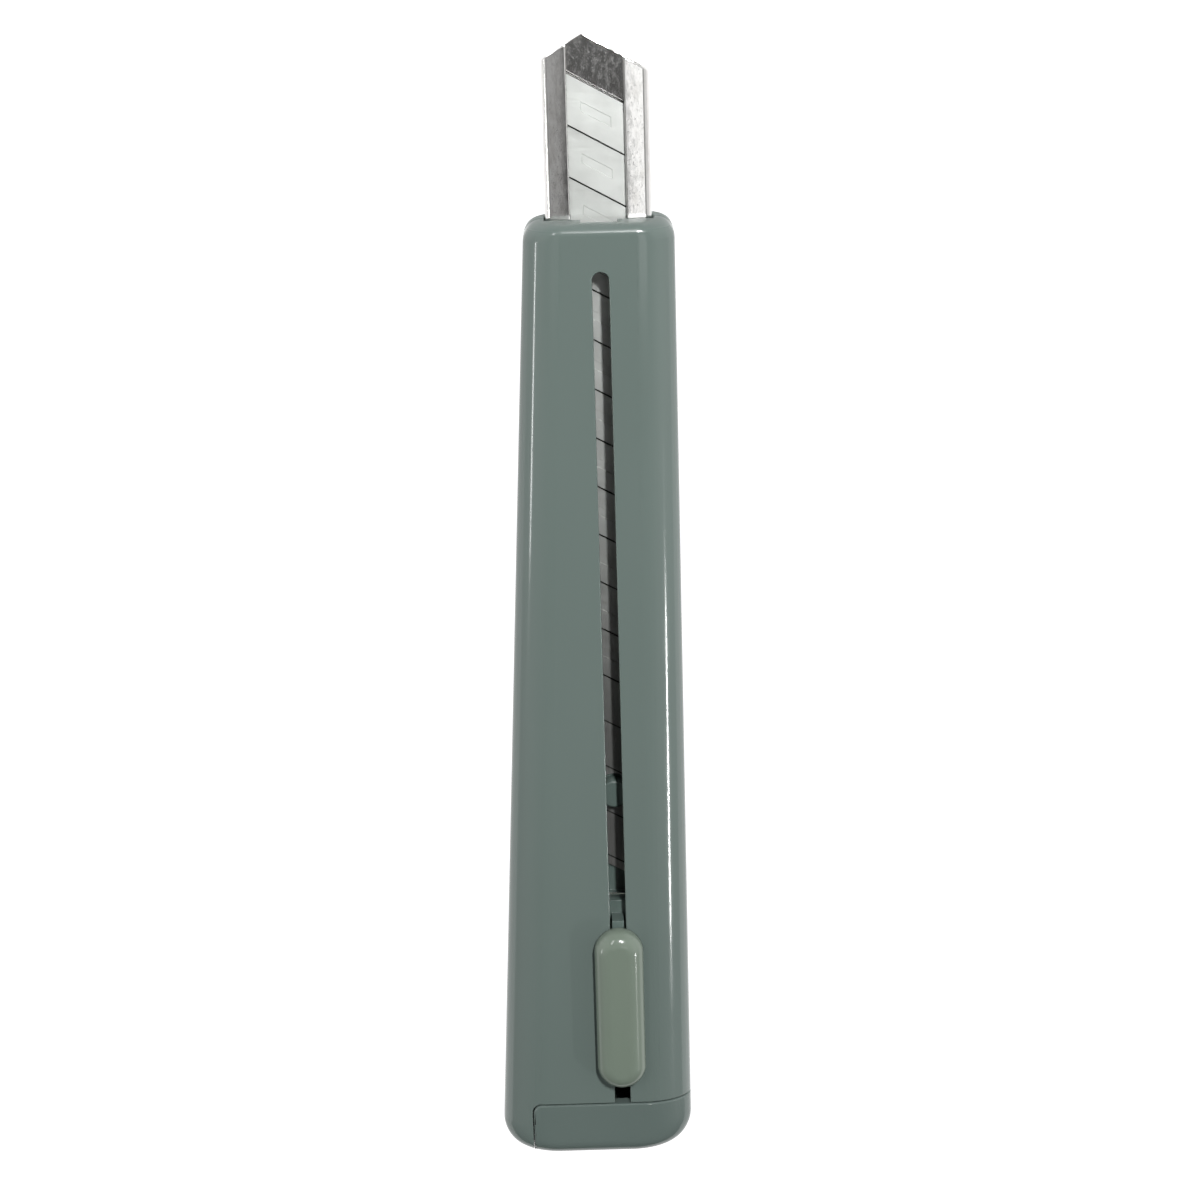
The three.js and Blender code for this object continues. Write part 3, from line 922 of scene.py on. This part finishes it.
    def shell(self, side: Side) -> Mesh:
        """One half of the casing.

        Args:
            side: Which half.

        Returns:
            Its mesh, with its cut edges rounded.
        """
        bm = combine(self.outer(), self.hollow(), Cut.AWAY)
        bm = combine(bm, self.slide_way(), Cut.AWAY)
        bm = combine(bm, self.cap_region(0.0, 0.0), Cut.AWAY)
        half_gap = self.parting_gap / 2
        if side is Side.FRONT:
            other = block((-OUTSIDE, -OUTSIDE, -OUTSIDE), (OUTSIDE, OUTSIDE, self.mid_z + half_gap))
            bm = combine(combine(bm, other, Cut.AWAY), self.slot(), Cut.AWAY)
        else:
            other = block((-OUTSIDE, -OUTSIDE, self.mid_z - half_gap), (OUTSIDE, OUTSIDE, OUTSIDE))
            bm = combine(bm, other, Cut.AWAY)
        round_edges(bm, sharp_edges(bm, degrees=50.0), self.edge_round, 3)
        return bm

    def build(self, material: Material) -> None:
        """Makes both shells and dresses them.

        Args:
            material: Their finish.
        """
        for side in Side:
            node = f"{side.value}_shell"
            name = f"{node}_moulding"
            finish_piece(self.shell(side), name, "casing", (node,), material, True)


@dataclass
class TailCap(Piece):
    """The tail's cap: a cup with two legs that hold it, and a tongue that closes the slit."""

    name = "tail_cap_moulding"
    body = "cap"
    slot = "cap_plastic"
    nodes = ("tail_cap",)
    casing: Casing
    wall: float = 1.2
    end_wall: float = 2.2
    leg_height: float = 4.4
    leg_play: float = 0.3
    side_gap: float = 0.09
    edge_round: float = 0.2
    tongue_from_butt: float = 0.3

    def mesh(self) -> Mesh:
        """The cap's mesh, with its edges rounded."""
        casing = self.casing
        box = Span.of_node("tail_cap")
        bm = combine(casing.outer(), casing.cap_region(self.side_gap, casing.shown_gap), Cut.KEEP)
        left = box.low.x + self.wall
        right = casing.right_x - casing.wall
        low, high = casing.wall, casing.top_z - casing.wall
        ends = (casing.butt_y + self.end_wall, casing.seam_y + casing.seam_gap)
        sections = [Section(y, left, right, low, high) for y in ends]
        bm = combine(bm, sweep(sections, sections[0], *casing.inner_corner, 6), Cut.AWAY)
        for edge_x in (left, right - self.leg_play - self.wall):
            leg = block(
                (edge_x, casing.butt_y + self.end_wall / 2, casing.mid_z - self.leg_height / 2),
                (edge_x + self.wall, box.high.y, casing.mid_z + self.leg_height / 2),
            )
            bm = combine(bm, leg, Cut.JOIN)
        round_edges(bm, sharp_edges(bm, degrees=50.0), self.edge_round, 4)
        tongue = block(
            (casing.slit_x + self.side_gap / 4, casing.butt_y + self.tongue_from_butt, low),
            (left + self.wall / 2, casing.seam_y - casing.cap_corner, high),
        )
        return combine(bm, tongue, Cut.JOIN)


# ---- Steel pieces ------------------------------------------------------------------------


@dataclass
class BladeChannel(Piece):
    """The folded sheet-steel channel with its pointed nose."""

    name = "blade_channel_fold"
    body = "casing"
    slot = "folded_steel"
    nodes = ("blade_channel",)
    sheet: float = 0.5
    lip: float = 2.45
    lip_lift: float = 0.14
    fold: float = 0.7
    peak_share: float = 0.39
    point_angle: float = math.radians(29)
    pin_hole: float = 3.0
    pin_from_casing_nose: float = 9.0
    edge_round: float = 0.14

    def mesh(self) -> Mesh:
        """The channel's mesh: a block opened to a sheet, folded round, trimmed and thickened."""
        box = Span.of_node("blade_channel")
        bm = block(tuple(box.low), (box.high.x, box.high.y, box.high.z - self.lip_lift))
        ends = [face for face in bm.faces if abs(face.normal.y) > 0.5]
        bmesh.ops.delete(bm, geom=ends, context="FACES_ONLY")
        for x in (box.low.x + self.lip, box.high.x - self.lip):
            cut_edges(bm, (x, 0, 0), (1, 0, 0))
        middle = box.middle_x
        top = [
            face for face in bm.faces
            if face.normal.z > 0.5 and abs(face.calc_center_median().x - middle) < self.lip
        ]
        bmesh.ops.delete(bm, geom=top, context="FACES")
        reach = middle - box.low.x - self.lip + NEAR
        inner = [
            vert for vert in bm.verts
            if vert.co.z > box.low.z + self.fold and abs(vert.co.x - middle) < reach
        ]
        bmesh.ops.translate(bm, vec=(0, 0, self.lip_lift), verts=inner)
        round_edges(bm, sharp_edges(bm, degrees=57.3), self.fold, 8)
        peak = (box.low.x + self.peak_share * box.width, box.high.y, 0)
        for turn in (self.point_angle, -self.point_angle):
            cut_edges(bm, peak, (-math.sin(turn), math.cos(turn), 0), trim=True)
        bmesh.ops.solidify(bm, geom=list(bm.faces), thickness=self.sheet)
        hole_y = Span.of_node("front_shell").high.y - self.pin_from_casing_nose
        hole = post(middle, hole_y, self.pin_hole, 0, (box.low.z + box.high.z) / 2)
        bm = combine(bm, hole, Cut.AWAY)
        round_edges(bm, sharp_edges(bm, degrees=50.0), self.edge_round, 2)
        return bm


@dataclass
class SnapOffBlade(Piece):
    """The blade: a strip with a ground edge, snap-off scores, pressed bars and slanted ends."""

    name = "blade_strip"
    body = "slide"
    slot = "blade_steel"
    nodes = ("snap_off_blade",)
    even = False
    point_angle: float = math.radians(29)
    score_pitch: float = 5.0
    score_count: int = 12
    score_half_width: float = 0.08
    score_depth: float = 0.15
    bevel: float = 1.1
    edge_half: float = 0.03
    bar_half_long: float = 1.5
    bar_half_wide: float = 0.5
    bar_depth: float = 0.07
    bar_slope: float = 0.07
    hole: float = 3.7
    hole_from_tail: float = 8.7

    def __post_init__(self) -> None:
        """Takes the blade's places from the frame."""
        self.box = Span.of_node("snap_off_blade")
        overhang = self.box.width / 2 * math.tan(self.point_angle)
        self.tip, self.tail = self.box.high.y - overhang, self.box.low.y + overhang

    def mesh(self) -> Mesh:
        """The blade's mesh, made square and then sheared to its slant."""
        box, middle = self.box, self.box.middle_x
        bm = block((box.low.x, self.tail, box.low.z), (box.high.x, self.tip, box.high.z))
        scores = [self.tip - self.score_pitch * (index + 1) for index in range(self.score_count)]
        for y in scores:
            for offset in (-self.score_half_width, 0.0, self.score_half_width):
                cut_edges(bm, (0, y + offset, 0), (0, 1, 0))
        cut_edges(bm, (box.low.x + self.bevel, 0, 0), (1, 0, 0))
        grooves = [
            vert for vert in bm.verts
            if vert.co.z > box.high.z - NEAR and any(abs(vert.co.y - y) < NEAR for y in scores)
        ]
        bmesh.ops.translate(bm, vec=(0, 0, -self.score_depth), verts=grooves)
        edge = [vert for vert in bm.verts if vert.co.x < box.low.x + NEAR]
        thin = Matrix.Diagonal((1, 1, 2 * self.edge_half / (box.high.z - box.low.z), 1))
        centre = (0, 0, (box.low.z + box.high.z) / 2)
        bmesh.ops.transform(bm, matrix=around(centre, thin), verts=edge)
        for y in scores:
            bm = combine(bm, self.bar(middle, y + self.score_pitch / 2, box.high.z), Cut.AWAY)
        slant = Matrix.Identity(4)
        slant[1][0] = -math.tan(self.point_angle)
        bmesh.ops.transform(bm, matrix=around((middle, 0, 0), slant), verts=list(bm.verts))
        hole = post(middle, self.tail + self.hole_from_tail, self.hole, 0, OUTSIDE)
        return combine(bm, hole, Cut.AWAY)

    def bar(self, x: float, y: float, top: float) -> Mesh:
        """One segment's pressed bar, as a cutter with sloping sides.

        Args:
            x: The bar's middle across the blade.
            y: The bar's middle along the blade.
            top: The height of the blade's face.

        Returns:
            The cutter's mesh.
        """
        long, wide, deep = self.bar_half_long, self.bar_half_wide, self.bar_depth
        bm = block((x - long, y - wide, top - deep), (x + long, y + wide, top + deep))
        floor = [vert for vert in bm.verts if vert.co.z < top]
        shares = [(half - self.bar_slope) / half for half in (long, wide)]
        narrow = around((x, y, 0), Matrix.Diagonal((*shares, 1, 1)))
        bmesh.ops.transform(bm, matrix=narrow, verts=floor)
        return bm

    def steel(self) -> BladeSteel:
        """The blade's finish, fitted to its slant and its scores."""
        return BladeSteel(self.box.middle_x, self.tip, self.score_pitch, self.point_angle)


@dataclass
class LockSpring(Piece):
    """The forked leaf on the carrier, with its tip bent up into the click stops."""

    name = "spring_leaf"
    body = "slide"
    slot = "spring_steel"
    nodes = ("lock_spring",)
    even = False
    sheet: float = 0.2
    edge_round: float = 0.06
    tip_length: float = 0.9
    rise_length: float = 8.25
    knee_from_tip: float = 0.25
    wall_play: float = 0.2
    fork_half: float = 0.93
    fork_from_knee: float = 0.15

    def mesh(self) -> Mesh:
        """The spring's mesh: a flat strip, bent and forked."""
        box = Span.of_node("lock_spring")
        knee_y = box.high.y - self.knee_from_tip
        bend_y = box.high.y - self.tip_length - self.rise_length
        wall_z = Span.of_node("front_shell").high.z - Casing.wall
        knee_z = wall_z - self.wall_play - self.sheet
        bm = block(tuple(box.low), (box.high.x, box.high.y, box.low.z + self.sheet))
        for y in (bend_y, knee_y):
            cut_edges(bm, (0, y, 0), (0, 1, 0))
        for y, z in ((knee_y, knee_z), (box.high.y, box.high.z - self.sheet)):
            row = [vert for vert in bm.verts if abs(vert.co.y - y) < NEAR]
            bmesh.ops.translate(bm, vec=(0, 0, z - box.low.z), verts=row)
        middle, half = box.middle_x, self.fork_half
        gap_end = knee_y - self.fork_from_knee
        gap = block((middle - half, box.low.y - 1, 0), (middle + half, gap_end, OUTSIDE))
        bm = combine(bm, gap, Cut.AWAY)
        bmesh.ops.recalc_face_normals(bm, faces=list(bm.faces))
        round_edges(bm, sharp_edges(bm, degrees=60.0), self.edge_round, 2)
        return bm


# ---- Slide -------------------------------------------------------------------------------


@dataclass
class Carrier(Piece):
    """The moulded carrier under the button: plate, pad, tab, stem and peg."""

    name = "carrier_moulding"
    body = "slide"
    slot = "carrier_plastic"
    nodes = ("blade_carrier",)
    plate: float = 0.5
    plate_length: float = 31.5
    pad_half: float = 2.3
    pad_length: float = 16.5
    pad_height: float = 1.7
    tab_height: float = 2.8
    tab_half: float = 0.88
    tab_length: float = 3.6
    stem_half: float = 0.625
    foot_ahead: float = 0.6
    foot_play: float = 0.1
    stem_behind: float = 1.3
    peg: float = 3.0
    peg_height: float = 1.8
    peg_round: float = 0.25
    peg_from_front: float = 3.5
    edge_round: float = 0.06

    def mesh(self) -> Mesh:
        """The carrier's mesh, joined from its blocks with their edges rounded."""
        box, button = Span.of_node("blade_carrier"), Span.of_node("thumb_button")
        middle = box.middle_x
        plate_z = box.low.z + self.plate
        plate_tail = box.high.y - self.plate_length
        pad_front = plate_tail + self.pad_length
        bm = block((box.low.x, plate_tail, box.low.z), (box.high.x, box.high.y, plate_z))
        for half, tail, front, top in (
            (self.pad_half, plate_tail, pad_front, plate_z + self.pad_height),
            (self.tab_half, pad_front - self.tab_length, pad_front, plate_z + self.tab_height),
            (self.stem_half, box.low.y, button.high.y + self.foot_ahead, button.low.z - self.foot_play),
            (self.stem_half, box.low.y, button.high.y - self.stem_behind, box.high.z),
        ):
            part = block((middle - half, tail, box.low.z), (middle + half, front, top))
            bm = combine(bm, part, Cut.JOIN)
        peg_y = box.high.y - self.peg_from_front
        peg = post(middle, peg_y, self.peg, box.low.z, plate_z + self.peg_height, 48)
        round_edges(peg, edges_where(peg, lambda co: co.z > plate_z), self.peg_round, 5)
        bm = combine(bm, peg, Cut.JOIN)
        round_edges(bm, sharp_edges(bm, degrees=60.0), self.edge_round, 3)
        return bm


@dataclass
class ThumbButton(Piece):
    """The pill-shaped button, domed to its edges, with a pocket for the carrier's stem."""

    name = "button_moulding"
    body = "slide"
    slot = "button_plastic"
    nodes = ("thumb_button",)
    edge_across: float = 1.7
    edge_deep: float = 1.5
    foot_round: float = 0.25
    sides: int = 64
    steps: int = 12
    stem_half: float = 0.725
    pocket_end: float = 1.2
    pocket_height: float = 1.2

    def ring(self, bm: Mesh, box: Span, inset: float, z: float) -> list:
        """One pill-shaped ring of edges.

        Args:
            bm: The mesh that gets the ring.
            box: The button's box.
            inset: How far the ring is drawn in.
            z: Its height.

        Returns:
            The ring's edges.
        """
        radius = box.width / 2
        half = (box.high.y - box.low.y) / 2 - radius
        middle = (box.low + box.high) / 2
        turn = Matrix.Rotation(math.pi / self.sides, 4, "Z")
        made = bmesh.ops.create_circle(
            bm, cap_ends=False, radius=radius - inset, segments=self.sides,
            matrix=Matrix.Translation((middle.x, middle.y, z)) @ turn,
        )["verts"]
        for sign in (-1, 1):
            end = [vert for vert in made if (vert.co.y - middle.y) * sign > 0]
            bmesh.ops.translate(bm, vec=(0, half * sign, 0), verts=end)
        return list(dict.fromkeys(edge for vert in made for edge in vert.link_edges))

    def mesh(self) -> Mesh:
        """The button's mesh."""
        box = Span.of_node("thumb_button")
        rows = [
            (self.foot_round * inset, box.low.z + self.foot_round * rise)
            for inset, rise in ((1.0, 0.0), (0.3, 0.3), (0.0, 1.0))
        ]
        for step in range(self.steps + 1):
            angle = math.pi / 2 * step / self.steps
            rows.append((
                self.edge_across * (1 - math.cos(angle)),
                box.high.z - self.edge_deep * (1 - math.sin(angle)),
            ))
        bm = bmesh.new()
        rings = [self.ring(bm, box, inset, z) for inset, z in rows]
        for lower, upper in zip(rings, rings[1:]):
            bmesh.ops.bridge_loops(bm, edges=[*lower, *upper])
        for ring in (rings[0], rings[-1]):
            bmesh.ops.edgeloop_fill(bm, edges=ring)
        bmesh.ops.recalc_face_normals(bm, faces=list(bm.faces))
        middle, half = box.middle_x, self.stem_half
        pocket = block(
            (middle - half, box.low.y + self.pocket_end, 0),
            (middle + half, box.high.y - self.pocket_end, box.low.z + self.pocket_height),
        )
        return combine(bm, pocket, Cut.AWAY)


# ---- Studio ------------------------------------------------------------------------------


@dataclass(frozen=True)
class SoftLight:
    """A rectangular light by its place and size in metres and its power in watts.

    It points at the knife's middle. The second side of its size lies as nearly along the knife
    as its aim allows.
    """

    name: str
    place: tuple
    size: tuple
    power: float

    def make(self, unlit: bpy.types.Collection) -> None:
        """Hangs the light in the studio.

        Args:
            unlit: What the light leaves out.
        """
        data = bpy.data.lights.new(self.name, "AREA")
        data.shape = "RECTANGLE"
        data.size, data.size_y = self.size
        data.energy = self.power
        lamp = show(self.name, data)
        outward = Vector(self.place).normalized()
        along = (Vector((0, 1, 0)) - outward * outward.y).normalized()
        turn = Matrix((along.cross(outward), along, outward)).transposed()
        lamp.matrix_world = Matrix.Translation(self.place) @ turn.to_4x4()
        lamp.light_linking.receiver_collection = unlit


@dataclass
class Studio:
    """The camera, the pale floor and the lights."""

    camera_x: float = 1.82
    camera_y: float = 81.5
    camera_height: float = 258.5
    pitch: float = math.radians(17.37)
    roll: float = math.radians(-1.63)
    lens: float = 78.1
    lights: tuple = (
        SoftLight("key", (0.075, 0.2, 0.35), (0.02, 0.06), 2.27),
        SoftLight("left_key", (-0.15, 0.2, 0.35), (0.015, 0.16), 0.22),
        SoftLight("right_panel", (0.165, -0.03, 0.7), (0.21, 0.14), 0.115),
        SoftLight("left_panel", (-0.165, -0.03, 0.7), (0.21, 0.14), 0.028),
        SoftLight("left_strip", (-0.6, -0.09, 0.33), (0.03, 0.13), 0.27),
        SoftLight("right_strip", (0.6, -0.29, 0.4), (0.02, 0.12), 0.95),
    )
    open_sky: float = 0.22
    tail_sky: float = 0.03
    tail_reach: tuple = (-0.8, 0.1)
    side_gain: float = 4.6
    side_reach: tuple = (0.35, 0.9)
    dim_share: float = 0.05
    dim_centre: tuple = (0.0, -0.55, 1.0)
    dim_reach: tuple = (math.cos(math.radians(30)), math.cos(math.radians(10)))
    floor_glow: float = 0.96

    def build(self) -> None:
        """Sets the camera, the floor, the lights and the sky."""
        self.set_camera()
        unlit = bpy.data.collections.new("lit_by_sky_only")
        unlit.objects.link(self.lay_floor())
        unlit.collection_objects[0].light_linking.link_state = "EXCLUDE"
        for light in self.lights:
            light.make(unlit)
        self.light_sky()
        bpy.context.scene.view_settings.view_transform = "Standard"

    def light_sky(self) -> None:
        """Makes the sky: bright at both sides, dim towards the tail and in a patch overhead."""
        world = bpy.data.worlds.new("studio_sky")
        world.use_nodes = True
        desk = NodeDesk(world.node_tree)
        direction = desk.add("TexCoord").outputs["Generated"]
        nearness = desk.add("VectorMath")
        nearness.operation = "DOT_PRODUCT"
        desk.feed(direction, nearness.inputs[0])
        desk.feed(Vector(self.dim_centre).normalized(), nearness.inputs[1])
        x, y, _ = desk.axes(direction)
        strength = 1.0
        for source, reach, levels in (
            (nearness.outputs["Value"], self.dim_reach, (1.0, self.dim_share)),
            (y, self.tail_reach, (self.tail_sky, self.open_sky)),
            (desk.math("ABSOLUTE", x), self.side_reach, (1.0, self.side_gain)),
        ):
            level = desk.remap(source, reach, levels, "SMOOTHSTEP")
            strength = desk.math("MULTIPLY", level, strength)
        background = world.node_tree.nodes["Background"]
        desk.feed(strength, background.inputs["Strength"])
        desk.feed(WHITE, background.inputs["Color"])
        bpy.context.scene.world = world

    def set_camera(self) -> None:
        """Places the camera over the nose, looking down towards the tail."""
        data = bpy.data.cameras.new("camera")
        data.lens = self.lens
        data.sensor_width = 36.0
        data.clip_start = 0.01
        camera = show("camera", data)
        turn = Matrix.Rotation(-self.pitch, 4, "X") @ Matrix.Rotation(self.roll, 4, "Z")
        place = Vector((self.camera_x, self.camera_y, self.camera_height)) * MM
        camera.matrix_world = Matrix.Translation(place) @ turn
        bpy.context.scene.camera = camera

    def lay_floor(self) -> bpy.types.Object:
        """Lays the floor under the knife."""
        bm = bmesh.new()
        bmesh.ops.create_grid(bm, x_segments=2, y_segments=2, size=3.0)
        floor = show_mesh("floor", bm)
        desk = MaterialDesk("pale_floor")
        drift = desk.noise((3, 3, 3), 2.0)
        floor.data.materials.append(desk.finish({
            "Base Color": desk.blend(drift, (0.93, 0.93, 0.93), (0.91, 0.91, 0.91)),
            "Roughness": 0.9,
            "Emission Color": WHITE,
            "Emission Strength": self.floor_glow,
        }))
        return floor


def main() -> None:
    """Builds the knife and its studio."""
    logging.basicConfig(level=logging.INFO, format="%(name)s: %(message)s")
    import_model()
    finishes = Finishes()
    Studio().build()
    casing = Casing()
    casing.build(finishes.casing.make(casing.nose_y))
    blade = SnapOffBlade()
    for piece, finish in (
        (TailCap(casing), finishes.cap),
        (BladeChannel(), finishes.channel),
        (blade, blade.steel()),
        (Carrier(), finishes.carrier),
        (ThumbButton(), finishes.button),
        (LockSpring(), finishes.spring),
    ):
        piece.build(finish.make())


if __name__ == "__main__":
    main()
